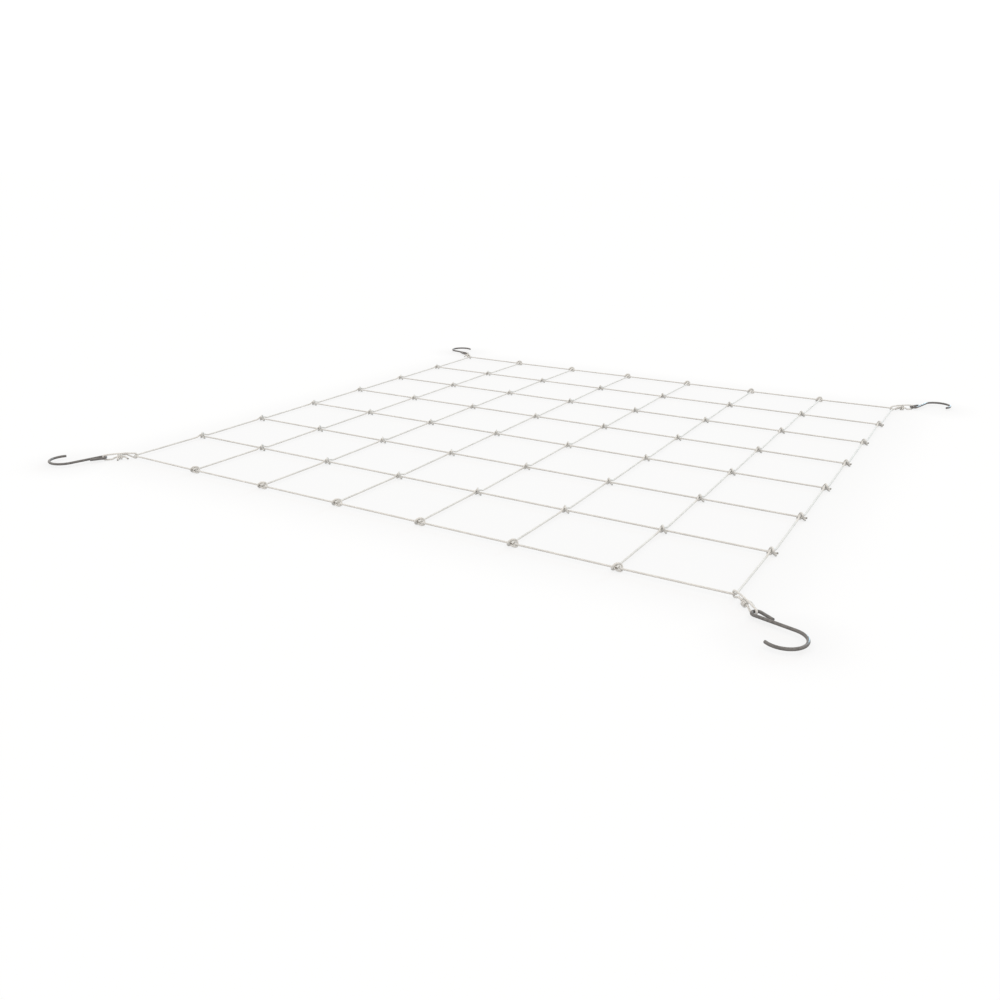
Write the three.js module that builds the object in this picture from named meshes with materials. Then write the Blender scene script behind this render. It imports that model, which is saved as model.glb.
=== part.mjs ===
// Trellis netting: a square net tied from elastic cord, with a cord loop and a wire hook at
// each corner. A closed border cord runs round the edge. Six long cords run from front to
// back and are hitched round every cord that they cross. Six cross cords run from side to
// side, and the border cord is hitched round their ends. The net lies taut on a floor.
// Millimetres, +Z up, origin on the floor under the middle of the net.
import * as THREE from 'three';
import { mergeVertices } from 'three/addons/utils/BufferGeometryUtils.js';

// Net
const CELLS = 7; // meshes along each side
const CELL = 100; // from knot to knot
const CORD = 1.9; // elastic cord, drawn taut
const CORD_SIDES = 4; // a tied cord has a square section of the round cord's area
const CORE_SIDES = 8; // a cross cord is straight, so it can be rounder
const CUT_END = 5.5; // how far a cut end reaches past the cord that it is tied to
const CORNER_BEND = 2.5; // the border cord's bend at a corner, on its centre line
const QUARTER_STEPS = 3; // stretches in a quarter bend

// Clove hitch: two legs side by side, under a turn that rides over both
const HITCH = {
  turn: 2.4, // centre of a turn from the axis of the cord inside it
  ride: 2.05, // how much further out the riding turn lies
  spread: 3.3, // the riding turn's two ends, each side of the crossing
  part: 1.3, // the two legs, each side of the crossing
};
const TURN_STEP = 36; // degrees from one station of a turn to the next
const RIDING_LAP = 0.25; // the riding turn's half width, in laps
const LEG_LEVEL = 2; // a hitch's leg lies level this far past the crossing
const LEG_SUNK = 9; // from here on it lies as low as the cord that it is tied round

// Corner loop, in a plane that stands on the net's diagonal. Lengths are from the net's corner.
const LOOP_BEND = 2.7; // bend at each end, on the centre line
const LOOP_INNER = -1.1; // centre of the bend round the border cord
const LOOP_OUTER = 30; // centre of the bend round the hook's eye
const LOOP_END_STEPS = 6;
const LOOP_KNOT = 14.5; // where the lower strand's two ends are tied together
const LOOP_KNOT_HALF = 5; // half of the stretch that lies straight inside the knot
const LOOP_TURN = 2.2; // from one of the knot's two turns to the next
const LOOP_RISE = 4; // the stretch in which the strand rises from the knot to the loop
const LOOP_ENTRY = 1.6; // bend of the end that is tied round the other, on the centre line
const LOOP_LEAD = 3; // the stretch that lies level before that bend
const LOOP_TAIL = 3.5; // each free end's droop, from the knot to its tip on the floor
const LOOP_ASIDE = 2.5; // how far the inner free end's tip lies to one side
const LOOP_GAP = 0.3; // clear space between the knot and the upper strand

// Hook, bent from round wire
const WIRE = 2.7;
const WIRE_SIDES = 8;
const EYE_AT = 29.7; // wire at the eye's inner end, outward from the net's corner
const EYE_BEND = 4; // the eye's bend, on the wire's centre line
const EYE_START = 102; // degrees, where the folded-back leg meets the eye
const EYE_STEPS = 7;
const FOLDED_LEG = 12.9; // the leg that is folded back beside the shank
const MOUTH_AT = 42.8; // centre of the big bend, from the wire at the eye's inner end
const MOUTH_BEND = 16.1; // the big bend, on the wire's centre line
const MOUTH_END = -85; // degrees, where the wire's tip is cut
const MOUTH_STEPS = 17;

const X = new THREE.Vector3(1, 0, 0);
const Y = new THREE.Vector3(0, 1, 0);
const RIGHT = new THREE.Vector3(0, -1, 0);
const Z = new THREE.Vector3(0, 0, 1);
const DOWN = new THREE.Vector3(0, 0, -1);
const radians = THREE.MathUtils.degToRad;
const CHORD = Math.cos(radians(TURN_STEP / 2)); // a faceted turn's flats, as a share of its radius

// Corner radius of a regular polygon with the same area as a round section
function cornerRadius(sides, diameter) {
  const angle = (2 * Math.PI) / sides;
  return (diameter / 2) * Math.sqrt(angle / Math.sin(angle));
}

const CORD_HALF = cornerRadius(CORD_SIDES, CORD) * Math.cos(Math.PI / CORD_SIDES);

// Heights of the cords' centre lines. The lowest turns of each knot lie flat on the floor, and so
// do both ends of each corner loop.
const CORE_Z = (HITCH.turn + CORD_HALF) * CHORD;
const LEG_Z = CORE_Z + HITCH.turn * CHORD;
const OVER_Z = LEG_Z + 2 * CORD_HALF + LOOP_GAP; // a loop's upper strand, over its knot
const CORNER_Z = CORD_HALF + LOOP_BEND;
const HALF = (CELLS * CELL) / 2;
const line = (index) => index * CELL - HALF;

// A strand's path is a list of stations: its centre, and the two directions of its section
class StrandPath extends THREE.Curve {
  constructor(stations) {
    super();
    this.stations = stations;
  }

  getSpacedPoints() {
    return this.stations.map((station) => station.at);
  }

  computeFrenetFrames() {
    const normals = this.stations.map((station) => station.out);
    const binormals = this.stations.map((station) => station.side);
    return { tangents: [], normals, binormals };
  }
}

// Regular polygon with flats on its four main sides
function section(sides, diameter) {
  const radius = cornerRadius(sides, diameter);
  const corners = [];
  for (let corner = 0; corner < sides; corner += 1) {
    const angle = ((corner + 0.5) * 2 * Math.PI) / sides;
    corners.push(new THREE.Vector2(radius * Math.cos(angle), radius * Math.sin(angle)));
  }
  return new THREE.Shape(corners);
}

// Keep positions only, with shared corners merged
function welded(geometry) {
  geometry.deleteAttribute('normal');
  geometry.deleteAttribute('uv');
  geometry.clearGroups();
  return mergeVertices(geometry);
}

function sweep(stations, shape) {
  const extrudePath = new StrandPath(stations);
  const steps = stations.length - 1;
  return new THREE.ExtrudeGeometry(shape, { steps, extrudePath, bevelEnabled: false });
}

const openStrand = (stations, shape) => welded(sweep(stations, shape));

// A ring ends where it starts, so it has walls and no end faces
function closedStrand(stations, shape) {
  const swept = sweep([...stations, stations[0]], shape);
  const walls = swept.groups[1];
  const corners = swept.getAttribute('position').array;
  const kept = corners.slice(3 * walls.start, 3 * (walls.start + walls.count));
  const ring = new THREE.BufferGeometry();
  ring.setAttribute('position', new THREE.BufferAttribute(kept, 3));
  return welded(ring);
}

// The same strand, run from its other end
function reversed(stations) {
  return stations.toReversed().map((station) => ({ ...station, side: station.side.clone().negate() }));
}

// How far along the inner cord a hitch has drifted: from one leg, over the riding turn, to the other
function drift(lap) {
  const turned = Math.abs(lap);
  if (turned < RIDING_LAP) {
    return -HITCH.spread * Math.sin(2 * Math.PI * lap);
  }
  const share = (turned - RIDING_LAP) / (1 - RIDING_LAP);
  const eased = (1 - Math.cos(Math.PI * share)) / 2;
  return Math.sign(lap) * THREE.MathUtils.lerp(-HITCH.spread, HITCH.part, eased);
}

// Twice round a cord that runs along X through the centre, back over the top to the bottom and
// front. Laps go from -1 to 1.
function turnsRound(centre, driftAt, rideAt) {
  const stations = [];
  for (let turned = TURN_STEP / 2; turned < 720; turned += TURN_STEP) {
    const lap = turned / 360 - 1;
    const angle = radians(turned);
    const out = new THREE.Vector3(0, Math.sin(angle), Math.cos(angle));
    const at = centre.clone().addScaledVector(out, HITCH.turn + rideAt(lap));
    at.x += driftAt(lap);
    stations.push({ at, out, side: X });
  }
  return stations;
}

// Clove hitch of a cord that runs along Y. hand is -1 for a mirror image.
function hitch(hand, centre) {
  const rideAt = (lap) => HITCH.ride * Math.max(0, 1 - (lap / RIDING_LAP) ** 4);
  return turnsRound(centre, (lap) => hand * drift(lap), rideAt);
}

// A leg of a knot, sinking away from it. way is -1 before the knot and 1 after it.
function leg(knot, row, way) {
  const { x } = knot.at(way > 0 ? -1 : 0).at;
  const places = [[LEG_LEVEL, LEG_Z], [LEG_SUNK, CORE_Z]];
  return places.map(([reach, z]) => {
    const at = new THREE.Vector3(x, line(row) + way * reach, z);
    return { at, out: Z, side: X };
  });
}

// Hitches along Y, one at each row, and the runs between them. A long cord is cut at its ends,
// past the first and the last line of the net.
function tiedRun(x, firstRow, lastRow, handAt) {
  const stations = [];
  for (let row = firstRow; row <= lastRow; row += 1) {
    const knot = hitch(handAt(row), new THREE.Vector3(x, line(row), CORE_Z));
    const arriving = row > 0 ? leg(knot, row, -1).toReversed() : [];
    const leaving = row < CELLS ? leg(knot, row, 1) : [];
    stations.push(...arriving, ...knot, ...leaving);
  }
  return stations;
}

const cordShape = section(CORD_SIDES, CORD);
const coreShape = section(CORE_SIDES, CORD);

// A long cord is tied to the border at both ends, by hitches of the other hand
function longCord(column) {
  const run = tiedRun(line(column), 0, CELLS, (row) => (row === 0 || row === CELLS ? -1 : 1));
  const ends = [run[0], run.at(-1)].map(({ at }, end) => {
    const y = (end === 0 ? -1 : 1) * (HALF + CUT_END);
    return { at: new THREE.Vector3(at.x, y, LEG_Z), out: Z, side: X };
  });
  return openStrand([ends[0], ...run, ends[1]], cordShape);
}

// A cross cord is straight, inside the hitches of the long cords and of the border
function crossCord(row) {
  const ends = [-1, 1].map((end) => {
    const at = new THREE.Vector3(end * (HALF + CUT_END), line(row), CORE_Z);
    return { at, out: Z, side: RIGHT };
  });
  return openStrand(ends, coreShape);
}

// A level quarter bend to the left, seen from above
function leftBend(centre, radius, start) {
  const stations = [];
  for (let step = 0; step <= QUARTER_STEPS; step += 1) {
    const angle = radians(start + (90 * step) / QUARTER_STEPS);
    const side = new THREE.Vector3(Math.cos(angle), Math.sin(angle), 0);
    stations.push({ at: centre.clone().addScaledVector(side, radius), out: Z, side });
  }
  return stations;
}

// A border corner, from the run before it to the run after it, anticlockwise from above
function borderCorner(quarter) {
  const inset = HALF - CORNER_BEND;
  const centre = new THREE.Vector3(inset, -inset, CORNER_Z);
  centre.applyAxisAngle(Z, (quarter * Math.PI) / 2);
  return leftBend(centre, CORNER_BEND, 90 * (quarter - 1));
}

// Front and back runs lie straight inside the long cords' hitches
function borderCore(end) {
  return [-1, 1].map((way) => {
    const at = new THREE.Vector3(-end * way * (HALF - CELL + CUT_END), end * HALF, CORE_Z);
    return { at, out: Z, side: Y.clone().multiplyScalar(end) };
  });
}

// Left and right runs are hitched round the ends of the cross cords
function borderHitches(end) {
  const run = tiedRun(end * HALF, 1, CELLS - 1, () => 1);
  return end > 0 ? run : reversed(run);
}

function borderCord() {
  const runs = [borderCore(-1), borderHitches(1), borderCore(1), borderHitches(-1)];
  const stations = runs.flatMap((run, quarter) => [...run, ...borderCorner(quarter)]);
  return closedStrand(stations, cordShape);
}

// One end of a corner loop, from one strand to the other
function loopEnd(centreX, start) {
  const stations = [];
  for (let step = 0; step <= LOOP_END_STEPS; step += 1) {
    const angle = radians(start + (180 * step) / LOOP_END_STEPS);
    const spoke = new THREE.Vector3(Math.cos(angle), 0, Math.sin(angle));
    const at = new THREE.Vector3(centreX, 0, CORNER_Z).addScaledVector(spoke, LOOP_BEND);
    stations.push({ at, out: spoke.negate(), side: RIGHT });
  }
  return stations;
}

// Corner loop, outward along X. One strand starts at a free end, lies straight inside the knot,
// goes round the hook's eye, over the knot and round the border cord, and is wound round its own
// start.
function cornerLoop() {
  const outward = (x, y, z) => ({ at: new THREE.Vector3(x, y, z), out: Z, side: RIGHT });
  const knotStart = LOOP_KNOT - LOOP_KNOT_HALF;
  const knotEnd = LOOP_KNOT + LOOP_KNOT_HALF;
  const inside = [
    outward(knotStart - LOOP_TAIL, LOOP_ASIDE, CORD_HALF),
    outward(knotStart, 0, CORE_Z),
    outward(knotEnd, 0, CORE_Z),
    outward(knotEnd + LOOP_RISE, 0, CORD_HALF),
  ];
  const knot = new THREE.Vector3(LOOP_KNOT, 0, CORE_Z);
  const turns = turnsRound(knot, (lap) => LOOP_TURN * lap, () => 0);
  const entryX = turns[0].at.x - LOOP_ENTRY;
  const lead = outward(entryX - LOOP_LEAD, -LOOP_ENTRY, LEG_Z);
  const entry = [lead, ...leftBend(new THREE.Vector3(entryX, 0, LEG_Z), LOOP_ENTRY, -90)];
  const tailX = turns.at(-1).at.x;
  const tailY = HITCH.turn + CORD_HALF;
  const tail = [
    { at: new THREE.Vector3(tailX, tailY, LEG_Z), out: Z, side: X },
    { at: new THREE.Vector3(tailX, tailY + LOOP_TAIL, CORD_HALF), out: Z, side: X },
  ];
  const over = [knotEnd, lead.at.x].map((x) => {
    return { at: new THREE.Vector3(x, 0, OVER_Z), out: DOWN, side: RIGHT };
  });
  const round = [...loopEnd(LOOP_OUTER, -90), ...over, ...loopEnd(LOOP_INNER, 90)];
  return openStrand([...inside, ...round, ...entry, ...turns, ...tail], cordShape);
}

// Stations on an arc in the hook's plane. way is 1 anticlockwise and -1 clockwise.
function hookArc(centreX, radius, start, end, steps) {
  const stations = [];
  const way = Math.sign(end - start);
  for (let step = 0; step <= steps; step += 1) {
    const angle = radians(THREE.MathUtils.lerp(start, end, step / steps));
    const spoke = new THREE.Vector3(Math.cos(angle), Math.sin(angle), 0);
    const at = new THREE.Vector3(centreX, 0, 0).addScaledVector(spoke, radius);
    stations.push({ at, out: spoke.multiplyScalar(-way), side: Z });
  }
  return stations;
}

// Hook in its own plane, outward along X from the wire at its eye's inner end. The wire starts at
// the folded-back leg, goes round the eye, crosses to the shank's far side and ends at the tip.
function hook() {
  const reach = MOUTH_AT - EYE_BEND;
  const slant = THREE.MathUtils.radToDeg(Math.asin((EYE_BEND + MOUTH_BEND) / reach));
  const eye = hookArc(EYE_BEND, EYE_BEND, EYE_START, 270 + slant, EYE_STEPS);
  const mouth = hookArc(MOUTH_AT, MOUTH_BEND, 90 + slant, MOUTH_END, MOUTH_STEPS);
  const along = new THREE.Vector3().crossVectors(eye[0].out, Z);
  const leg = { ...eye[0], at: eye[0].at.clone().addScaledVector(along, -FOLDED_LEG) };
  return openStrand([leg, ...eye, ...mouth], section(WIRE_SIDES, WIRE));
}

const cordMaterial = new THREE.MeshStandardMaterial({ color: 0xe9e6df, roughness: 0.85, metalness: 0 });
const steelMaterial = new THREE.MeshStandardMaterial({ color: 0x55565a, roughness: 0.38, metalness: 0.9 });

function piece(name, geometry, material) {
  const mesh = new THREE.Mesh(geometry, material);
  mesh.name = name;
  return mesh;
}

const trellisNetting = new THREE.Group();
trellisNetting.add(piece('border_cord', borderCord(), cordMaterial));
for (let index = 1; index < CELLS; index += 1) {
  trellisNetting.add(piece(`long_cord_${index}`, longCord(index), cordMaterial));
  trellisNetting.add(piece(`cross_cord_${index}`, crossCord(index), cordMaterial));
}

// The net is drawn taut, so each hook lies level with its loop
const corners = ['back_right', 'back_left', 'front_left', 'front_right'];
corners.forEach((place, index) => {
  const corner = new THREE.Group();
  corner.rotation.z = radians(45 + 90 * index);
  corner.position.copy(X).applyAxisAngle(Z, corner.rotation.z).multiplyScalar(HALF * Math.SQRT2);
  const cornerHook = piece(`hook_${place}`, hook(), steelMaterial);
  cornerHook.position.set(EYE_AT, 0, CORNER_Z);
  corner.add(piece(`corner_loop_${place}`, cornerLoop(), cordMaterial), cornerHook);
  trellisNetting.add(corner);
});

export default trellisNetting;
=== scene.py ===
"""Looks of a trellis net: braided elastic cord tied with clove hitches, and a wire hook at each corner.

Metres, +Z up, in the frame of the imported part. The net lies taut on a floor, its middle over the origin.
"""
import math

import bmesh
import bpy
import numpy as np
from bpy.props import FloatProperty, FloatVectorProperty, PointerProperty
from bpy.types import Operator, Panel, PropertyGroup
from mathutils import Euler, Matrix, Vector


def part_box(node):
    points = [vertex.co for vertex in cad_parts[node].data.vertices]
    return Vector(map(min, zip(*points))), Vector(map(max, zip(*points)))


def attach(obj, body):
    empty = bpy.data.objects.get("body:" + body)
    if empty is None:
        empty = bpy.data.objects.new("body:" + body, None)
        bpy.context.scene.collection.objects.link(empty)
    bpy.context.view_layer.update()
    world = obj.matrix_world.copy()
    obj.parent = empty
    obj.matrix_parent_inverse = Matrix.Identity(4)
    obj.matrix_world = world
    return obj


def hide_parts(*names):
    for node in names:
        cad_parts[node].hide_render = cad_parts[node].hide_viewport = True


bl_info = {
    "name": "Trellis netting",
    "version": (1, 0, 0),
    "blender": (4, 5, 0),
    "location": "3D View > Sidebar > Netting",
    "description": "A square net tied from braided elastic cord, with a wire hook at each corner",
    "category": "Add Mesh",
}

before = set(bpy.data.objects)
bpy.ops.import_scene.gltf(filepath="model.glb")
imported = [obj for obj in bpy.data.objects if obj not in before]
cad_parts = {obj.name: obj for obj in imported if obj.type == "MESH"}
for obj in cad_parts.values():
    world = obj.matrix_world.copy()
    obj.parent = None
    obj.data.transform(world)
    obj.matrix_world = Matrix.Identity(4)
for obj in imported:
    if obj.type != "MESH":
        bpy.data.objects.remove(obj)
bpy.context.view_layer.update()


def middle(node):
    """The middle of a node's box."""
    low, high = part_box(node)
    return (low + high) / 2


# The net's grid, read from the frame
ROWS = sum(name.startswith("cross_cord_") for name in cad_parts)
CELL = middle("cross_cord_2").y - middle("cross_cord_1").y
HALF = CELL * (ROWS + 1) / 2
LINES = [CELL * index - HALF for index in range(ROWS + 2)]
CORE_HEIGHT = middle("cross_cord_1").z
CUT_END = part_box("cross_cord_1")[1].x - HALF
CORNERS = ("back_right", "back_left", "front_left", "front_right")

# How finely strands and wire are modelled
CARRIERS = 4  # braid strands that wind each way
BRAID_STEPS = 4  # rings in one pitch of the braid, and corners across one of its strands
SIDES = CARRIERS * BRAID_STEPS
PLIES = 4  # across one strand of the braid
LEG_EASE = 0.009  # stretch in which a hitch's leg sinks to its height between knots
LEG_STEPS = 9
FINE_STEP = 0.0002  # along a path, before it is cut into rings
KINK_REACH = 4  # fine steps each side over which a kink is rounded
ARC_STEPS = 24  # in half a turn of a path
LAPS = np.linspace(-1.0, 1.0, 4 * ARC_STEPS + 1)  # of a cord twice round another, from the middle
OFF_AXIS = (0.3, 0.2, 0.9)  # a direction that no strand starts in
LANE_MARGIN = 0.04  # clear edge of a bake lane, as a share of its width
MERGE = 1e-6  # corners as near as this are one
WIRE_SIDES = 24
FOLDED_LEG_STEPS = 6
EYE_STEPS = 28
SHANK_STEPS = 12
MOUTH_STEPS = 44
CUT_EDGE_STEPS = 2
SHARP_EDGE = math.radians(50)

# A cut end closes to a pole: how far each of its rings lies from the tip, and its share of the radius
CUT_RINGS = ((0.0, 0.0), (0.00004, 0.8), (0.0002, 0.96))
CUT_REACH = 0.0025  # how far the darker look at a cut end reaches along the cord
UNSHADED_END = 0.06  # length at a cut end, with its knot, whose bends get no painted shade

# The stage beyond its settings
SENSOR = 36.0  # width of the camera's sensor, in millimetres
NEAREST = 0.01  # from the camera to the nearest thing that it shows
FLOOR_REACH = 100.0  # from the origin to the floor's edges, far out of the picture


class CordSizes(PropertyGroup):
    """Sizes of the elastic cord, of its braid and of the hitches tied in it."""

    diameter: FloatProperty(
        name="Cord", description="Diameter of the elastic cord, drawn taut",
        default=0.0019, unit="LENGTH", precision=5)
    braid_pitch: FloatProperty(
        name="Braid pitch", description="Length of one diamond of the braid",
        default=0.00212, unit="LENGTH", precision=5)
    braid_relief: FloatProperty(
        name="Braid relief", description="Depth of the crevices between the braid's strands",
        default=0.00007, unit="LENGTH", precision=5)
    hitch_ride: FloatProperty(
        name="Riding turn", description="How much further out a hitch's riding turn lies than the others",
        default=0.0019, unit="LENGTH", precision=5)
    hitch_spread: FloatProperty(
        name="Hitch spread", description="The riding turn's two ends, each side of the crossing",
        default=0.004, unit="LENGTH", precision=5)
    hitch_part: FloatProperty(
        name="Hitch legs", description="A hitch's two legs, each side of the crossing",
        default=0.0012, unit="LENGTH", precision=5)
    corner_bend: FloatProperty(
        name="Corner bend", description="The border cord's bend at a corner, on its centre line",
        default=0.0025, unit="LENGTH", precision=5)
    corner_height: FloatProperty(
        name="Corner height", description="Border corners and hooks over the floor",
        default=0.00367, unit="LENGTH", precision=5)


class LoopSizes(PropertyGroup):
    """Sizes of a corner loop. Lengths are outward from the net's corner."""

    bend: FloatProperty(
        name="End bend", description="Bend at each end of the loop, on its centre line",
        default=0.0027, unit="LENGTH", precision=5)
    inner: FloatProperty(
        name="Inner end", description="Centre of the bend round the border cord",
        default=-0.0011, unit="LENGTH", precision=5)
    outer: FloatProperty(
        name="Outer end", description="Centre of the bend round the hook's eye",
        default=0.03, unit="LENGTH", precision=5)
    knot: FloatProperty(
        name="Knot", description="Where the lower strand's two ends are tied together",
        default=0.0145, unit="LENGTH", precision=5)
    knot_half: FloatProperty(
        name="Half knot", description="Half of the stretch that lies straight inside the knot",
        default=0.005, unit="LENGTH", precision=5)
    turn: FloatProperty(
        name="Turn", description="From one of the knot's two turns to the next",
        default=0.0022, unit="LENGTH", precision=5)
    rise: FloatProperty(
        name="Rise", description="Stretch in which the strand rises from the knot to the loop",
        default=0.004, unit="LENGTH", precision=5)
    entry: FloatProperty(
        name="Entry bend", description="Bend of the end that is tied round the other, on its centre line",
        default=0.0016, unit="LENGTH", precision=5)
    lead: FloatProperty(
        name="Lead", description="Stretch that lies level before the entry bend",
        default=0.003, unit="LENGTH", precision=5)
    tail: FloatProperty(
        name="Free end", description="Each free end's droop, from the knot to its tip on the floor",
        default=0.0035, unit="LENGTH", precision=5)
    aside: FloatProperty(
        name="Aside", description="How far the inner free end's tip lies to one side",
        default=0.0025, unit="LENGTH", precision=5)


class HookSizes(PropertyGroup):
    """Sizes of a hook. Lengths are outward from the wire at its eye's inner end."""

    wire: FloatProperty(
        name="Wire", description="Diameter of the wire",
        default=0.0027, unit="LENGTH", precision=5)
    eye_at: FloatProperty(
        name="Eye place", description="The eye's inner end, outward from the net's corner",
        default=0.0297, unit="LENGTH", precision=5)
    eye_bend: FloatProperty(
        name="Eye bend", description="The eye's bend, on the wire's centre line",
        default=0.004, unit="LENGTH", precision=5)
    eye_start: FloatProperty(
        name="Eye start", description="Where the folded-back leg meets the eye",
        default=math.radians(102), subtype="ANGLE")
    folded_leg: FloatProperty(
        name="Folded leg", description="Length of the leg that is folded back beside the shank",
        default=0.0129, unit="LENGTH", precision=5)
    mouth_at: FloatProperty(
        name="Mouth place", description="Centre of the big bend",
        default=0.0428, unit="LENGTH", precision=5)
    mouth_bend: FloatProperty(
        name="Mouth bend", description="The big bend, on the wire's centre line",
        default=0.0161, unit="LENGTH", precision=5)
    mouth_end: FloatProperty(
        name="Mouth end", description="Where the wire's tip is cut",
        default=math.radians(-85), subtype="ANGLE")
    cut_edge: FloatProperty(
        name="Cut edge", description="Width of the worn edge at each cut end of the wire",
        default=0.00022, unit="LENGTH", precision=5)


class Finish(PropertyGroup):
    """Colours of the cord and of the steel."""

    yarn: FloatVectorProperty(
        name="Yarn", description="Colour of the braid's strands",
        default=(0.84, 0.825, 0.79), subtype="COLOR", min=0.0, max=1.0)
    # Painted shade: the darker colour in the gaps between the braid's strands stands in for the shade that
    # falls there
    crevice_shade: FloatVectorProperty(
        name="Crevice", description="Colour of the gaps between the braid's strands",
        default=(0.6, 0.575, 0.53), subtype="COLOR", min=0.0, max=1.0)
    sheen: FloatVectorProperty(
        name="Sheen", description="Colour of the yarn's soft shine along the cord",
        default=(0.82, 0.94, 1.0), subtype="COLOR", min=0.0, max=1.0)
    # The colour that the cord darkens to near each cut end
    cut_end: FloatVectorProperty(
        name="Cut end", description="Colour of the cord where its end is cut and sealed",
        default=(0.24, 0.22, 0.19), subtype="COLOR", min=0.0, max=1.0)
    steel: FloatVectorProperty(
        name="Steel", description="Colour of the dark wire",
        default=(0.165, 0.156, 0.149), subtype="COLOR", min=0.0, max=1.0)
    scuff: FloatVectorProperty(
        name="Scuff", description="Colour of the wire where it is scuffed bare",
        default=(0.2, 0.192, 0.185), subtype="COLOR", min=0.0, max=1.0)


class StageSettings(PropertyGroup):
    """Camera, floor and light."""

    camera_place: FloatVectorProperty(
        name="Camera", description="Where the camera stands",
        default=(0.52743, -0.99357, 0.30994), subtype="TRANSLATION")
    heading: FloatProperty(
        name="Heading", description="The camera's turn from the net's long cords, to the left",
        default=math.radians(30.626), subtype="ANGLE")
    pitch: FloatProperty(
        name="Pitch", description="How far the camera looks up from the level",
        default=math.radians(-19.643), subtype="ANGLE")
    roll: FloatProperty(
        name="Roll", description="The camera's turn about its own line of sight",
        default=math.radians(0.334), subtype="ANGLE")
    lens: FloatProperty(
        name="Lens", description="Focal length, on a 36 mm sensor",
        default=33.097, subtype="DISTANCE_CAMERA")
    shift: FloatProperty(
        name="Shift", description="Sideways shift of the picture, as a share of its width",
        default=-0.00934)
    floor: FloatProperty(
        name="Floor", description="Share of the light that the pale floor sends back",
        default=0.18, subtype="FACTOR", min=0.0, max=1.0)
    glow: FloatProperty(
        name="Floor glow", description="Light of the pale floor's own, as of a lit table",
        default=0.802, min=0.0)
    uplight: FloatProperty(
        name="Uplight", description="Share of the floor's glow that lights the net from below",
        default=0.5, subtype="FACTOR", min=0.0, max=1.0)
    shade: FloatProperty(
        name="Shade", description="How much less the floor glows under the net and its hooks",
        default=0.043, subtype="FACTOR", min=0.0, max=1.0)
    fade: FloatProperty(
        name="Fade", description="Width of the soft edge of the floor's shade",
        default=0.11, unit="LENGTH", precision=3)
    sky: FloatVectorProperty(
        name="Sky", description="Light from all round",
        default=(1.09, 1.05, 1.015), subtype="COLOR", min=0.0, soft_max=2.0)
    key: FloatVectorProperty(
        name="Key", description="Colour of the soft light from the back",
        default=(0.42, 0.77, 1.0), subtype="COLOR", min=0.0, max=1.0)
    key_strength: FloatProperty(
        name="Key strength", description="Strength of the soft light from the back",
        default=0.85, min=0.0)
    key_heading: FloatProperty(
        name="Key heading", description="The light's turn from straight behind the net, to its left",
        default=math.radians(-6), subtype="ANGLE")
    key_height: FloatProperty(
        name="Key height", description="The light's height over the level",
        default=math.radians(16), subtype="ANGLE")
    key_spread: FloatProperty(
        name="Key spread", description="Width of the soft light, seen from the net",
        default=math.radians(12), subtype="ANGLE")


# Paths


def point(*values):
    """A place or a direction."""
    return np.array(values, dtype=float)


def arc(centre, first, second, radius, start, end):
    """Points on an arc in the plane of two directions, between two angles in degrees."""
    steps = max(2, round(ARC_STEPS * abs(end - start) / 180))
    angles = np.radians(np.linspace(start, end, steps + 1))[:, None]
    return centre + radius * (np.cos(angles) * first + np.sin(angles) * second)


def smooth_step(low, high, value):
    """From 0 below one limit to 1 above the other, without a kink."""
    share = np.clip((value - low) / (high - low), 0.0, 1.0)
    return share * share * (3 - 2 * share)


def turns_round(cord, centre, drift, ride):
    """Twice round a cord along X through the centre, from the top down the back and up the front."""
    reach = CORE_HEIGHT - cord.diameter / 2 + ride
    angle = 2 * np.pi * (LAPS + 1)
    return centre + np.column_stack([drift, reach * np.sin(angle), reach * np.cos(angle)])


def hitch(cord, hand, centre):
    """Clove hitch of a cord that runs along Y. hand is -1 for a mirror image."""
    # Laps from the middle where the riding turn starts to sink, is tucked in, is widest, and is a leg
    flat_lap = 0.14
    tucked_lap = 0.34
    widest_lap = 0.4
    settled_lap = 0.82
    away = np.abs(LAPS)
    eased = (1 - np.cos(np.pi * np.clip((away - widest_lap) / (settled_lap - widest_lap), 0, 1))) / 2
    legs = np.sign(LAPS) * (eased * (cord.hitch_spread + cord.hitch_part) - cord.hitch_spread)
    bar = -cord.hitch_spread * np.sin(np.pi / 2 * LAPS / widest_lap)
    drift = hand * np.where(away < widest_lap, bar, legs)
    ride = cord.hitch_ride * (1 - smooth_step(flat_lap, tucked_lap, away))
    return turns_round(cord, centre, drift, ride)


def leg_height(cord):
    """Height of a cord that lies on top of the cord that it is tied round."""
    return 2 * CORE_HEIGHT - cord.diameter / 2


def core_run(y, reach):
    """Straight along X, through the middle of the hitches that are tied round it."""
    return np.array([(-reach, y, CORE_HEIGHT), (reach, y, CORE_HEIGHT)])


def leg(cord, end, way):
    """From a hitch's end, along Y, down to the height of the cord that it is tied round."""
    share = np.linspace(0.0, 1.0, LEG_STEPS + 1)[1:]
    sunk = (CORE_HEIGHT - leg_height(cord)) * smooth_step(0.0, 1.0, share)
    return end + np.column_stack([0 * share, way * LEG_EASE * share, sunk])


def tied_knot(cord, hand, x, row):
    """A hitch with the leg before it and the leg after it."""
    turns = hitch(cord, hand, point(x, LINES[row], CORE_HEIGHT))
    return np.concatenate([leg(cord, turns[0], -1)[::-1], turns, leg(cord, turns[-1], 1)])


def end_knot(cord, x, row, way):
    """A hitch of the other hand at a cord's cut end, with the leg on its inner side."""
    turns = hitch(cord, -1, point(x, LINES[row], CORE_HEIGHT))
    if way < 0:
        return np.concatenate([turns[:1] - point(0, CUT_END, 0), turns, leg(cord, turns[-1], 1)])
    return np.concatenate([leg(cord, turns[0], -1)[::-1], turns, turns[-1:] + point(0, CUT_END, 0)])


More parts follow.
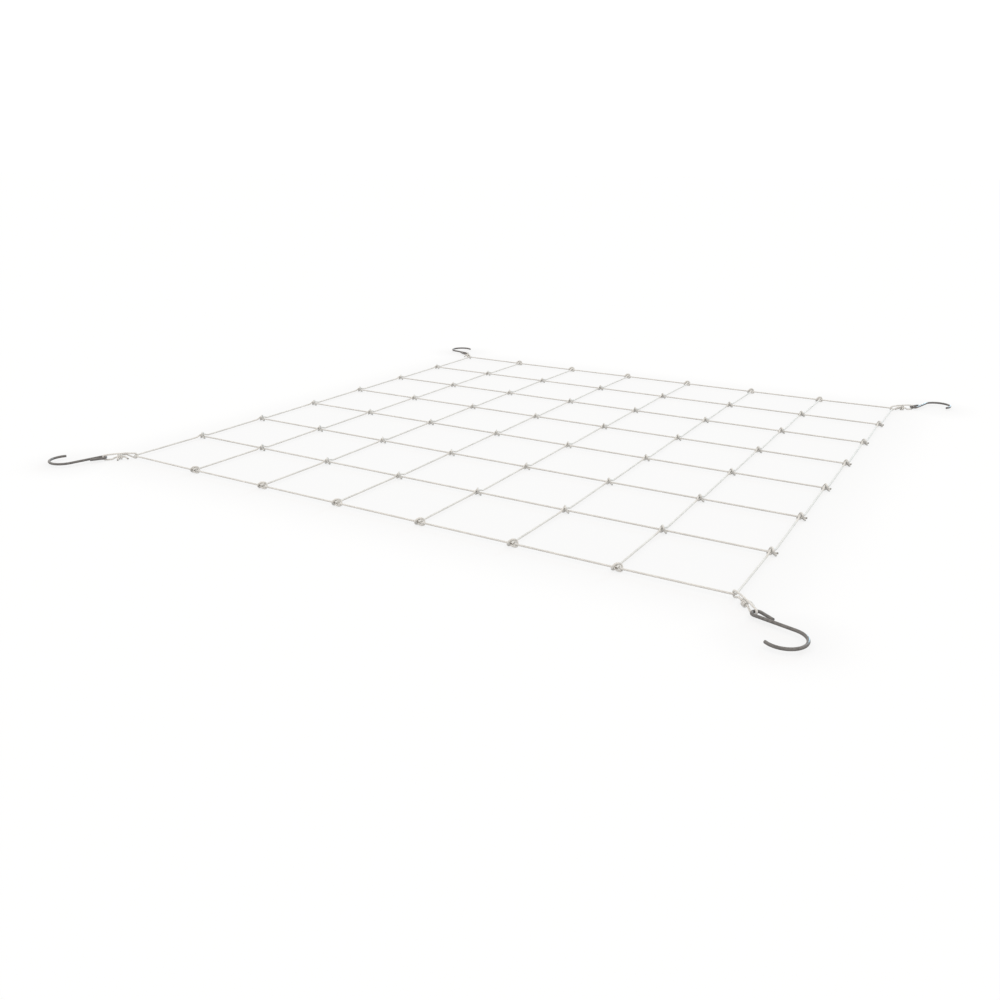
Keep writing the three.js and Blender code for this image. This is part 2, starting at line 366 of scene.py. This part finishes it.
def tied_run(cord, x):
    """Through a hitch at each cross cord, and between them down at the cross cords' height."""
    return np.concatenate([tied_knot(cord, 1, x, row) for row in range(1, ROWS + 1)])


def long_cord_path(cord, column):
    """Tied to the border at both ends, and to each cross cord between."""
    x = LINES[column]
    front = end_knot(cord, x, 0, -1)
    back = end_knot(cord, x, ROWS + 1, 1)
    return np.concatenate([front, tied_run(cord, x), back])


def border_path(cord):
    """Anticlockwise from above: straight along the front and back, hitched along both sides."""
    straight = HALF - CELL + CUT_END
    inset = HALF - cord.corner_bend
    right, back, _ = np.eye(3)
    edges = (
        core_run(-HALF, straight),
        tied_run(cord, HALF),
        core_run(HALF, straight)[::-1],
        tied_run(cord, -HALF)[::-1],
    )
    path = []
    for quarter, edge in enumerate(edges):
        turned = Matrix.Rotation(math.radians(90 * quarter), 3, "Z")
        centre = np.array(turned @ Vector((inset, -inset, cord.corner_height)))
        start = 90 * (quarter - 1)
        path += [edge, arc(centre, right, back, cord.corner_bend, start, start + 90)]
    return np.concatenate([*path, path[0][:1]])


def corner_loop_path(cord, loop):
    """Outward along X: from a free end through the knot, round the hook's eye and the border, and tied."""
    radius = cord.diameter / 2
    height = cord.corner_height
    outward, left, up = np.eye(3)
    start = loop.knot - loop.knot_half
    end = loop.knot + loop.knot_half
    inside = np.array([
        (start - loop.tail, loop.aside, radius),
        (start, 0, CORE_HEIGHT),
        (end, 0, CORE_HEIGHT),
        (end + loop.rise, 0, height - loop.bend),
    ])
    outer = arc(point(loop.outer, 0, height), outward, up, loop.bend, -90, 90)
    inner = arc(point(loop.inner, 0, height), outward, up, loop.bend, 90, 270)
    over_height = leg_height(cord) + cord.diameter
    turns = turns_round(cord, point(loop.knot, 0, CORE_HEIGHT), loop.turn * LAPS, 0.0)
    entry_centre = point(turns[0][0] - loop.entry, 0, leg_height(cord))
    entry = arc(entry_centre, outward, left, loop.entry, -90, 0)
    lead = entry[0] - outward * loop.lead
    over = np.array([(end, 0, over_height), (lead[0], 0, over_height)])
    leaving = turns[-1] + left * CORE_HEIGHT
    tip = leaving + left * loop.tail
    tip[2] = radius
    return np.concatenate([inside, outer, over, inner, [lead], entry, turns, [leaving, tip]])


def corner_matrix(index):
    """From a corner's own frame, outward along X, to the net's frame."""
    turn = Matrix.Rotation(math.radians(45 + 90 * index), 4, "Z")
    return turn @ Matrix.Translation((HALF * math.sqrt(2), 0, 0))


# Strands


def step_lengths(path):
    """From each point of a path to the next."""
    return np.linalg.norm(np.diff(path, axis=0), axis=1)


def stations(path, lengths):
    """Points at these lengths along a path."""
    along = np.concatenate([[0.0], np.cumsum(step_lengths(path))])
    return np.column_stack([np.interp(lengths, along, path[:, axis]) for axis in range(3)])


def relaxed(path, closed):
    """The path in fine steps, with its kinks rounded as a taut cord rounds them."""
    length = step_lengths(path).sum()
    fine = stations(path, np.linspace(0.0, length, round(length / FINE_STEP) + 1))
    window = np.hanning(2 * KINK_REACH + 3)[1:-1]
    window /= window.sum()
    around = ((KINK_REACH, KINK_REACH), (0, 0))
    if closed:
        padded = np.pad(fine[:-1], around, mode="wrap")
    else:
        padded = np.pad(fine, around, mode="reflect", reflect_type="odd")
    eased = np.column_stack([np.convolve(padded[:, axis], window, mode="valid") for axis in range(3)])
    return np.concatenate([eased, eased[:1]]) if closed else eased


def ring_places(length, rings, closed):
    """How far along a strand each of its rings lies, and the ring's share of the strand's radius."""
    lengths = np.linspace(0.0, length, rings + 1)
    shares = np.ones(rings + 1)
    if not closed:
        for ring, (inward, share) in enumerate(CUT_RINGS):
            lengths[[ring, -1 - ring]] = inward, length - inward
            shares[[ring, -1 - ring]] = share
    return lengths, shares


def unit(vectors):
    """The same directions, each of length 1."""
    return vectors / np.linalg.norm(vectors, axis=-1, keepdims=True)


def directions(path, lengths, closed):
    """The way that a path runs at each of these lengths."""
    ahead = stations(path, np.minimum(lengths + FINE_STEP, lengths[-1]))
    behind = stations(path, np.maximum(lengths - FINE_STEP, 0.0))
    tangents = unit(ahead - behind)
    if closed:
        tangents[[0, -1]] = unit(tangents[0] + tangents[-1])
    return tangents


def carried_sides(tangents, closed):
    """Two directions square to each tangent, carried along without twisting about it."""
    side = unit(np.cross(tangents[0], OFF_AXIS))
    sides = np.empty_like(tangents)
    for index, tangent in enumerate(tangents):
        side = unit(side - tangent * side.dot(tangent))
        sides[index] = side
    others = np.cross(tangents, sides)
    if closed:
        # What the ring has turned by at its end is undone evenly along it
        turned = math.atan2(sides[-1].dot(others[0]), sides[-1].dot(sides[0]))
        angle = -turned * np.linspace(0.0, 1.0, len(tangents))[:, None]
        sides, others = (
            np.cos(angle) * sides + np.sin(angle) * others,
            np.cos(angle) * others - np.sin(angle) * sides,
        )
    return sides, others


def braid_radius(cord, around, rings):
    """Distance of each corner from the strand's centre: a dome for each diamond, with crevices between."""
    turned = CARRIERS * around
    wound = rings / BRAID_STEPS
    dome = np.sqrt(np.abs(np.sin(np.pi * (turned + wound)) * np.sin(np.pi * (turned - wound))))
    return cord.diameter / 2 - cord.braid_relief * (1 - dome)


def flat_grid(mesh, rings):
    """Fill a mesh with a flat grid and its map. Gives each corner's share of a turn, and its ring."""
    grid = bmesh.new()
    grid.loops.layers.uv.new("braid_lay")
    bmesh.ops.create_grid(grid, x_segments=SIDES, y_segments=rings, size=0.5, calc_uvs=True)
    grid.to_mesh(mesh)
    grid.free()
    flat = np.empty(3 * len(mesh.vertices), dtype=np.float32)
    mesh.vertices.foreach_get("co", flat)
    across, along, _ = flat.reshape(-1, 3).T + 0.5
    return across, np.rint(along * rings).astype(int)


def read_pairs(layer, count):
    """A map's place for each corner of each face."""
    values = np.empty(2 * count, dtype=np.float32)
    layer.uv.foreach_get("vector", values)
    return values.reshape(-1, 2).astype(float)


def write_pairs(layer, values):
    layer.uv.foreach_set("vector", values.astype(np.float32).ravel())


def lay_maps(mesh, rings, length, girth):
    """Give a strand its braid map, in pitches along it, and a map for bakes with its length in lanes."""
    share = read_pairs(mesh.uv_layers["braid_lay"], len(mesh.loops))
    write_pairs(mesh.uv_layers["braid_lay"], share * (1.0, rings / BRAID_STEPS))
    lanes = max(1, round(math.sqrt(length / girth)))
    lane_rings = math.ceil(rings / lanes)
    corner_ring = share[:, 1] * rings
    # A face's four corners share the ring that its middle lies past
    face_ring = np.floor(corner_ring.reshape(-1, 4).mean(axis=1)).repeat(4)
    lane = face_ring // lane_rings
    inside = LANE_MARGIN + (1 - 2 * LANE_MARGIN) * share[:, 0]
    along = (corner_ring - lane * lane_rings) / lane_rings
    ends = LANE_MARGIN / lanes
    bake = np.column_stack([(lane + inside) / lanes, ends + (1 - 2 * ends) * along])
    write_pairs(mesh.uv_layers.new(name="OFBake"), bake)


def mark(mesh, name, values):
    """Keep a value for each corner of a mesh."""
    marks = mesh.attributes.new(name, "FLOAT", "POINT")
    marks.data.foreach_set("value", values.astype(np.float32))


def to_cut_end(lengths, closed):
    """Distance of each ring from the nearer cut end, without limit on a closed strand."""
    return np.full(len(lengths), np.inf) if closed else np.minimum(lengths, lengths[-1] - lengths)


def tightness(cord, tangents, lengths):
    """How tightly a strand is bent at each ring: 0 is straight, and 1 bends within its own width."""
    turning = np.linalg.norm(np.gradient(tangents, lengths, axis=0), axis=1)
    return np.clip(turning * cord.diameter, 0.0, 1.0)


def close_tube(mesh):
    """Merge a rolled strand's seam and its ends' poles, with its faces outward."""
    tube = bmesh.new()
    tube.from_mesh(mesh)
    bmesh.ops.remove_doubles(tube, verts=tube.verts, dist=MERGE)
    bmesh.ops.recalc_face_normals(tube, faces=tube.faces)
    tube.to_mesh(mesh)
    tube.free()
    mesh.shade_smooth()


def strand(name, cord, path, closed=False):
    """A braided strand along a path: a flat grid, rolled round the path and closed along its seam."""
    path = relaxed(path, closed)
    length = step_lengths(path).sum()
    rings = BRAID_STEPS * round(length / cord.braid_pitch)
    mesh = bpy.data.meshes.new(name)
    around, ring_of = flat_grid(mesh, rings)
    lengths, shares = ring_places(length, rings, closed)
    tangents = directions(path, lengths, closed)
    sides, others = carried_sides(tangents, closed)

    angle = 2 * np.pi * around
    spoke = np.cos(angle)[:, None] * sides[ring_of] + np.sin(angle)[:, None] * others[ring_of]
    radius = braid_radius(cord, around, ring_of) * shares[ring_of]
    places = stations(path, lengths)[ring_of] + radius[:, None] * spoke
    mesh.vertices.foreach_set("co", places.astype(np.float32).ravel())
    lay_maps(mesh, rings, length, math.pi * cord.diameter)

    away = to_cut_end(lengths, closed)
    # Painted shade in the strand's tight bends, as in its knots, left off near its cut ends
    bend_shade_share = tightness(cord, tangents, lengths) * smooth_step(UNSHADED_END, 2 * UNSHADED_END, away)
    mark(mesh, "cut_end", np.clip(1 - away / CUT_REACH, 0.0, 1.0)[ring_of])
    mark(mesh, "bend_shade_mask", bend_shade_share[ring_of])
    close_tube(mesh)
    return mesh


# Hooks


def spun(wire, ring, centre, angle, steps):
    """Carry the wire's open end round a bend in its own plane."""
    made = bmesh.ops.spin(wire, geom=ring, cent=centre, axis=(0, 0, 1), angle=angle, steps=steps)
    return made["geom_last"]


def drawn(wire, ring, way, steps):
    """Carry the wire's open end along a straight stretch."""
    made = bmesh.ops.spin(wire, geom=ring, axis=(0, 0, 1), dvec=way / steps, steps=steps)
    return made["geom_last"]


def on_bend(centre_x, radius, angle):
    """The wire's middle at an angle of a bend whose centre lies on the hook's own X."""
    return Vector((centre_x + radius * math.cos(angle), radius * math.sin(angle), 0))


def bent_hook(name, sizes, place):
    """A hook bent in its own plane, from its folded leg round the eye, shank and mouth, then placed."""
    reach = sizes.mouth_at - sizes.eye_bend
    slant = math.asin((sizes.eye_bend + sizes.mouth_bend) / reach)
    eye_end = math.radians(270) + slant
    mouth_start = math.radians(90) + slant
    eye_first = on_bend(sizes.eye_bend, sizes.eye_bend, sizes.eye_start)
    heading = Vector((-math.sin(sizes.eye_start), math.cos(sizes.eye_start), 0))
    shank_from = on_bend(sizes.eye_bend, sizes.eye_bend, eye_end)
    shank_to = on_bend(sizes.mouth_at, sizes.mouth_bend, mouth_start)

    wire = bmesh.new()
    tip = Matrix.Translation(eye_first - heading * sizes.folded_leg)
    facing = heading.to_track_quat("Z", "X").to_matrix().to_4x4()
    bmesh.ops.create_circle(wire, segments=WIRE_SIDES, radius=sizes.wire / 2, matrix=tip @ facing)
    first_ring = wire.edges[:]
    ring = drawn(wire, first_ring, heading * sizes.folded_leg, FOLDED_LEG_STEPS)
    ring = spun(wire, ring, (sizes.eye_bend, 0, 0), eye_end - sizes.eye_start, EYE_STEPS)
    ring = drawn(wire, ring, shank_to - shank_from, SHANK_STEPS)
    ring = spun(wire, ring, (sizes.mouth_at, 0, 0), sizes.mouth_end - mouth_start, MOUTH_STEPS)
    last_ring = [part for part in ring if isinstance(part, bmesh.types.BMEdge)]
    for rim in (first_ring, last_ring):
        bmesh.ops.edgeloop_fill(wire, edges=rim)
    bmesh.ops.bevel(
        wire, geom=first_ring + last_ring, offset=sizes.cut_edge, segments=CUT_EDGE_STEPS,
        profile=0.5, affect="EDGES", material=-1)
    bmesh.ops.recalc_face_normals(wire, faces=wire.faces)

    # Streaks of the drawn wire follow it at a steady height over the hook's plane
    streak = wire.verts.layers.float.new("streak")
    for corner in wire.verts:
        corner[streak] = corner.co.z / sizes.wire
    wire.transform(place)
    mesh = bpy.data.meshes.new(name)
    wire.to_mesh(mesh)
    wire.free()
    mesh.shade_smooth()
    mesh.set_sharp_from_angle(angle=SHARP_EDGE)
    return mesh


def hook_matrix(cord, sizes, index):
    """The net is drawn taut, so a hook lies level with its loop."""
    return corner_matrix(index) @ Matrix.Translation((sizes.eye_at, 0, cord.corner_height))


# Shader nodes


def add(tree, kind, **settings):
    """A new node with these settings."""
    made = tree.nodes.new(kind)
    for name, value in settings.items():
        setattr(made, name, value)
    return made


def feed(tree, socket, value):
    """Link a socket to an output, or set it to a plain value."""
    if isinstance(value, bpy.types.NodeSocket):
        tree.links.new(value, socket)
    else:
        socket.default_value = value


def maths(tree, operation, *values):
    """One step of a sum, from outputs or plain values."""
    made = add(tree, "ShaderNodeMath", operation=operation)
    for socket, value in zip(made.inputs, values):
        feed(tree, socket, value)
    return made.outputs[0]


def ranged(tree, value, span=(0.0, 1.0), to=(0.0, 1.0)):
    """Map a value smoothly from one range to another."""
    made = add(tree, "ShaderNodeMapRange", interpolation_type="SMOOTHSTEP")
    for socket, given in zip(made.inputs, (value, *span, *to)):
        feed(tree, socket, given)
    return made.outputs[0]


def opaque(colour):
    return (*colour, 1.0)


def blended(tree, share, first, second, blend_type="MIX"):
    """Mix two colours, through the sockets that a Mix node has for them."""
    made = add(tree, "ShaderNodeMix", data_type="RGBA", blend_type=blend_type)
    for index, value in ((0, share), (6, first), (7, second)):
        feed(tree, made.inputs[index], value)
    return made.outputs[2]


def toned(tree, colour, *tones):
    """A colour made darker or lighter by each of these tones."""
    tone = tones[0]
    for other in tones[1:]:
        tone = maths(tree, "MULTIPLY", tone, other)
    grey = add(tree, "ShaderNodeCombineColor")
    for socket in grey.inputs:
        tree.links.new(tone, socket)
    return blended(tree, 1.0, colour, grey.outputs[0], "MULTIPLY")


def noise(tree, source, scale, detail, dimensions="3D"):
    """Noise over a place in three dimensions, or along a plain value in one."""
    made = add(tree, "ShaderNodeTexNoise", noise_dimensions=dimensions)
    feed(tree, made.inputs["W" if dimensions == "1D" else "Vector"], source)
    feed(tree, made.inputs["Scale"], scale)
    feed(tree, made.inputs["Detail"], detail)
    return made.outputs["Fac"]


def marked(tree, name):
    """The value that a mesh keeps under this name for each of its corners."""
    return add(tree, "ShaderNodeAttribute", attribute_name=name).outputs["Fac"]


def own_place(tree):
    """Where a point lies in its piece's own coordinates."""
    return add(tree, "ShaderNodeTexCoord").outputs["Object"]


def embossed(tree, height, strength, distance):
    """A normal that follows a height, for a surface that stays where it is."""
    bump = add(tree, "ShaderNodeBump")
    for name, value in (("Strength", strength), ("Distance", distance), ("Height", height)):
        feed(tree, bump.inputs[name], value)
    return bump.outputs[0]


def new_group(name, inputs, outputs):
    """A shader node group with these sockets, and its input and output nodes."""
    group = bpy.data.node_groups.new(name, "ShaderNodeTree")
    for socket_name, kind in inputs:
        group.interface.new_socket(socket_name, in_out="INPUT", socket_type=kind)
    for socket_name, kind in outputs:
        group.interface.new_socket(socket_name, in_out="OUTPUT", socket_type=kind)
    return group, group.nodes.new("NodeGroupInput"), group.nodes.new("NodeGroupOutput")


def mottle_group():
    """Soft blotches over a piece, in its own coordinates."""
    group, given, made = new_group(
        "Mottle", [("Scale", "NodeSocketFloat")], [("Value", "NodeSocketFloat")])
    blotch = noise(group, own_place(group), given.outputs["Scale"], detail=4.0)
    feed(group, made.inputs["Value"], ranged(group, blotch, span=(0.3, 0.7)))
    return group


def mottle(tree, scale):
    """The shared blotches at a scale of the material's own."""
    group = bpy.data.node_groups.get("Mottle") or mottle_group()
    made = add(tree, "ShaderNodeGroup", node_tree=group)
    feed(tree, made.inputs["Scale"], scale)
    return made.outputs["Value"]


def dress(tree, shader, looks):
    """Set or link a shader's inputs by name."""
    for name, value in looks.items():
        feed(tree, shader.inputs[name], value)


def new_material(name):
    """A material, its node tree and its shader."""
    material = bpy.data.materials.new(name)
    material.use_nodes = True
    tree = material.node_tree
    return material, tree, tree.nodes["Principled BSDF"]


def braid_pattern(tree):
    """Height over the crevices, plies across each strand, and a tone for each diamond of the braid."""
    lay = add(tree, "ShaderNodeUVMap", uv_map="braid_lay").outputs[0]
    parts = add(tree, "ShaderNodeSeparateXYZ")
    tree.links.new(lay, parts.inputs[0])
    turned = maths(tree, "MULTIPLY", parts.outputs["X"], CARRIERS)
    right = maths(tree, "ADD", turned, parts.outputs["Y"])
    left = maths(tree, "SUBTRACT", turned, parts.outputs["Y"])
    waves = [maths(tree, "SINE", maths(tree, "MULTIPLY", way, math.pi)) for way in (right, left)]
    dome = maths(tree, "SQRT", maths(tree, "ABSOLUTE", maths(tree, "MULTIPLY", *waves)))
    cells = [maths(tree, "FLOOR", way) for way in (right, left)]
    over = maths(tree, "FLOORED_MODULO", maths(tree, "ADD", *cells), 2.0)
    under = maths(tree, "SUBTRACT", 1.0, over)
    crossings = [maths(tree, "MULTIPLY", *pair) for pair in ((over, right), (under, left))]
    across = maths(tree, "ADD", *crossings)
    wave = maths(tree, "SINE", maths(tree, "MULTIPLY", across, math.pi * PLIES))
    ply = maths(tree, "ABSOLUTE", wave)
    cell = add(tree, "ShaderNodeCombineXYZ")
    tree.links.new(cells[0], cell.inputs["X"])
    tree.links.new(cells[1], cell.inputs["Y"])
    tone = add(tree, "ShaderNodeTexWhiteNoise", noise_dimensions="2D")
    tree.links.new(cell.outputs[0], tone.inputs["Vector"])
    return dome, ply, tone.outputs["Value"]


def elastic_cord_material(finish):
    """Braided sleeve of off-white yarn, with painted shade in its crevices, between its plies and in its
    tight bends, and darker near its cut ends.
    """
    material, tree, shader = new_material("elastic_cord")
    dome, ply, tone = braid_pattern(tree)
    # Painted shade: the yarn's colour darkens into the crevices between the braid's strands
    out_of_crevice_shade = ranged(tree, dome, span=(0.0, 0.75))
    colour = blended(tree, out_of_crevice_shade, opaque(finish.crevice_shade), opaque(finish.yarn))
    uneven = ranged(tree, tone, to=(0.93, 1.03))
    # Painted shade in the grooves between the plies of each strand
    ply_groove_shade = ranged(tree, ply, span=(0.0, 0.6), to=(0.9, 1.0))
    worn = ranged(tree, mottle(tree, scale=60.0), to=(0.94, 1.02))
    # Painted shade where the cord is bent tightly, as in the knots
    painted_bend_shade = ranged(tree, marked(tree, "bend_shade_mask"), span=(0.3, 0.8), to=(1.0, 0.76))
    colour = toned(tree, colour, uneven, ply_groove_shade, worn, painted_bend_shade)
    # Darker near each cut end
    darkened = ranged(tree, marked(tree, "cut_end"), span=(0.35, 0.9))
    raised = [maths(tree, "MULTIPLY", *part) for part in ((dome, 0.6), (ply, 0.4))]
    height = maths(tree, "ADD", *raised)
    dress(tree, shader, {
        "Base Color": blended(tree, darkened, colour, opaque(finish.cut_end)),
        "Roughness": ranged(tree, dome, to=(0.8, 0.55)),
        "Specular IOR Level": 0.5,
        "Sheen Weight": 0.35,
        "Sheen Roughness": 0.4,
        "Sheen Tint": opaque(finish.sheen),
        "Normal": embossed(tree, height, strength=0.4, distance=0.00008),
    })
    return material


def dark_wire_material(finish):
    """Dark drawn wire: streaks along it, soft blotches and small bare scuffs."""
    material, tree, shader = new_material("dark_wire")
    place = own_place(tree)
    lines = noise(tree, marked(tree, "streak"), scale=22.0, detail=3.0, dimensions="1D")
    streaks = ranged(tree, lines, span=(0.35, 0.65))
    blotch = mottle(tree, scale=420.0)
    streaky = ranged(tree, streaks, to=(0.88, 1.08))
    patchy = ranged(tree, blotch, to=(0.8, 1.18))
    colour = toned(tree, opaque(finish.steel), streaky, patchy)
    specks = noise(tree, place, scale=1100.0, detail=3.0)
    scuffed = ranged(tree, specks, span=(0.6, 0.72), to=(0.0, 0.8))
    dull = ranged(tree, blotch, to=(0.2, 0.32))
    brushed = ranged(tree, streaks, to=(0.0, 0.06))
    grain = maths(tree, "ADD", streaks, noise(tree, place, scale=1800.0, detail=2.0))
    dress(tree, shader, {
        "Base Color": blended(tree, scuffed, colour, opaque(finish.scuff)),
        "Roughness": maths(tree, "ADD", dull, brushed),
        "Specular IOR Level": 0.5,
        "Normal": embossed(tree, grain, strength=0.35, distance=0.00004),
    })
    return material


def floor_material(stage):
    """Plain lit floor, a very little less bright under the net and its hooks: a painted soft shadow."""
    material, tree, shader = new_material("studio_floor")
    corner_round = stage.fade / 2
    edge_start = HALF - stage.fade / 4
    hook_reach = 0.8 * stage.fade
    place = add(tree, "ShaderNodeSeparateXYZ")
    tree.links.new(own_place(tree), place.inputs[0])
    x, y = (maths(tree, "ABSOLUTE", place.outputs[axis]) for axis in "XY")
    edge = maths(tree, "SMOOTH_MAX", x, y, corner_round)
    # Painted soft shadow on the floor, under the net and round each hook
    under_net = ranged(tree, edge, span=(edge_start, HALF + stage.fade), to=(1.0, 0.0))
    hook = middle(f"hook_{CORNERS[0]}")
    sides = [maths(tree, "SUBTRACT", side, centre) for side, centre in zip((x, y), hook)]
    squares = [maths(tree, "MULTIPLY", side, side) for side in sides]
    away = maths(tree, "SQRT", maths(tree, "ADD", *squares))
    under_hook = ranged(tree, away, span=(0.0, hook_reach), to=(1.0, 0.0))
    shaded = maths(tree, "MAXIMUM", under_net, under_hook)
    glow = ranged(tree, shaded, to=(stage.glow, stage.glow - stage.shade))
    seen = add(tree, "ShaderNodeLightPath").outputs["Is Camera Ray"]
    share_seen = ranged(tree, seen, to=(stage.uplight, 1.0))
    dress(tree, shader, {
        "Base Color": opaque((stage.floor,) * 3),
        "Roughness": 1.0,
        "Specular IOR Level": 0.0,
        "Emission Color": opaque((1.0, 1.0, 1.0)),
        "Emission Strength": maths(tree, "MULTIPLY", glow, share_seen),
    })
    return material


def finish_material(name, make, finish):
    """The named material, made the first time that it is asked for."""
    return bpy.data.materials.get(name) or make(finish)


# Pieces


def in_scene(name, data):
    """A new object in the scene, at the origin."""
    made = bpy.data.objects.new(name, data)
    bpy.context.scene.collection.objects.link(made)
    return made


def place_piece(mesh, node, material):
    """Put a finished mesh in the scene, in place of its node."""
    mesh.materials.append(material)
    piece = in_scene(mesh.name, mesh)
    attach(piece, "root")
    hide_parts(node)


def place_cord(context, mesh, node):
    """Put a finished strand in the scene, in place of its node."""
    material = finish_material("elastic_cord", elastic_cord_material, context.scene.net_finish)
    place_piece(mesh, node, material)


# The stage


def set_camera(scene, stage):
    """Stand the camera in its place."""
    data = bpy.data.cameras.new("camera")
    data.sensor_width = SENSOR
    data.lens = stage.lens
    data.shift_x = stage.shift
    data.clip_start = NEAREST
    camera = in_scene("camera", data)
    level = Euler((math.radians(90) + stage.pitch, 0, stage.heading)).to_matrix()
    turned = level @ Matrix.Rotation(stage.roll, 3, "Z")
    camera.matrix_world = Matrix.LocRotScale(Vector(stage.camera_place), turned, None)
    scene.camera = camera


def lay_floor(stage):
    """Lay the pale floor under the net."""
    mesh = bpy.data.meshes.new("floor")
    plane = bmesh.new()
    bmesh.ops.create_grid(plane, x_segments=1, y_segments=1, size=FLOOR_REACH)
    plane.to_mesh(mesh)
    plane.free()
    mesh.materials.append(floor_material(stage))
    in_scene("floor", mesh)


def light_net(scene, stage):
    """A soft light from the back, and an even one from all round."""
    light = bpy.data.lights.new("key", "SUN")
    light.color = stage.key
    light.energy = stage.key_strength
    light.angle = stage.key_spread
    key = in_scene("key", light)
    key.rotation_euler = (stage.key_height - math.radians(90), 0, stage.key_heading)
    scene.world = bpy.data.worlds.new("sky")
    scene.world.use_nodes = True
    sky = scene.world.node_tree.nodes["Background"]
    sky.inputs["Color"].default_value = opaque(stage.sky)


# Operators


class NET_OT_stage(Operator):
    """Set up the camera, the pale floor and the soft light"""

    bl_idname = "net.stage"
    bl_label = "Set the stage"

    def execute(self, context):
        stage = context.scene.net_stage
        set_camera(context.scene, stage)
        lay_floor(stage)
        light_net(context.scene, stage)
        context.scene.view_settings.view_transform = "Standard"
        return {"FINISHED"}


class NET_OT_border_cord(Operator):
    """Tie the closed border cord round the net"""

    bl_idname = "net.border_cord"
    bl_label = "Border cord"

    def execute(self, context):
        cord = context.scene.net_cord
        mesh = strand("border_braid", cord, border_path(cord), closed=True)
        place_cord(context, mesh, "border_cord")
        return {"FINISHED"}


class NET_OT_long_cords(Operator):
    """Tie the long cords from front to back"""

    bl_idname = "net.long_cords"
    bl_label = "Long cords"

    def execute(self, context):
        cord = context.scene.net_cord
        for column in range(1, ROWS + 1):
            mesh = strand(f"long_braid_{column}", cord, long_cord_path(cord, column))
            place_cord(context, mesh, f"long_cord_{column}")
        return {"FINISHED"}


class NET_OT_cross_cords(Operator):
    """Lay the cross cords from side to side"""

    bl_idname = "net.cross_cords"
    bl_label = "Cross cords"

    def execute(self, context):
        cord = context.scene.net_cord
        for row in range(1, ROWS + 1):
            mesh = strand(f"cross_braid_{row}", cord, core_run(LINES[row], HALF + CUT_END))
            place_cord(context, mesh, f"cross_cord_{row}")
        return {"FINISHED"}


class NET_OT_corner_loops(Operator):
    """Tie a loop at each corner, round the border and the hook's eye"""

    bl_idname = "net.corner_loops"
    bl_label = "Corner loops"

    def execute(self, context):
        cord = context.scene.net_cord
        flat = corner_loop_path(cord, context.scene.net_loop)
        for index, corner in enumerate(CORNERS):
            matrix = np.array(corner_matrix(index))
            path = flat @ matrix[:3, :3].T + matrix[:3, 3]
            mesh = strand(f"loop_braid_{corner}", cord, path)
            place_cord(context, mesh, f"corner_loop_{corner}")
        return {"FINISHED"}


class NET_OT_hooks(Operator):
    """Bend a hook from wire at each corner"""

    bl_idname = "net.hooks"
    bl_label = "Hooks"

    def execute(self, context):
        cord = context.scene.net_cord
        sizes = context.scene.net_hook
        material = finish_material("dark_wire", dark_wire_material, context.scene.net_finish)
        for index, corner in enumerate(CORNERS):
            mesh = bent_hook(f"wire_hook_{corner}", sizes, hook_matrix(cord, sizes, index))
            place_piece(mesh, f"hook_{corner}", material)
        return {"FINISHED"}


class NET_PT_panel(Panel):
    """Lists the net's pieces, sizes and finishes"""

    bl_idname = "NET_PT_panel"
    bl_label = "Trellis netting"
    bl_space_type = "VIEW_3D"
    bl_region_type = "UI"
    bl_category = "Netting"

    def draw(self, context):
        for operator in OPERATORS:
            self.layout.operator(operator.bl_idname)
        for group in GROUPS:
            settings = getattr(context.scene, group)
            box = self.layout.box()
            for name in settings.__annotations__:
                box.prop(settings, name)


OPERATORS = (
    NET_OT_stage,
    NET_OT_border_cord,
    NET_OT_long_cords,
    NET_OT_cross_cords,
    NET_OT_corner_loops,
    NET_OT_hooks,
)
GROUPS = {
    "net_cord": CordSizes,
    "net_loop": LoopSizes,
    "net_hook": HookSizes,
    "net_finish": Finish,
    "net_stage": StageSettings,
}


def register():
    for group in GROUPS.values():
        bpy.utils.register_class(group)
    for name, group in GROUPS.items():
        setattr(bpy.types.Scene, name, PointerProperty(type=group))
    for operator in OPERATORS:
        bpy.utils.register_class(operator)
    bpy.utils.register_class(NET_PT_panel)


def unregister():
    bpy.utils.unregister_class(NET_PT_panel)
    for operator in reversed(OPERATORS):
        bpy.utils.unregister_class(operator)
    for name, group in GROUPS.items():
        delattr(bpy.types.Scene, name)
        bpy.utils.unregister_class(group)


def main():
    register()
    bpy.ops.net.stage()
    bpy.ops.net.border_cord()
    bpy.ops.net.long_cords()
    bpy.ops.net.cross_cords()
    bpy.ops.net.corner_loops()
    bpy.ops.net.hooks()


if __name__ == "__main__":
    main()
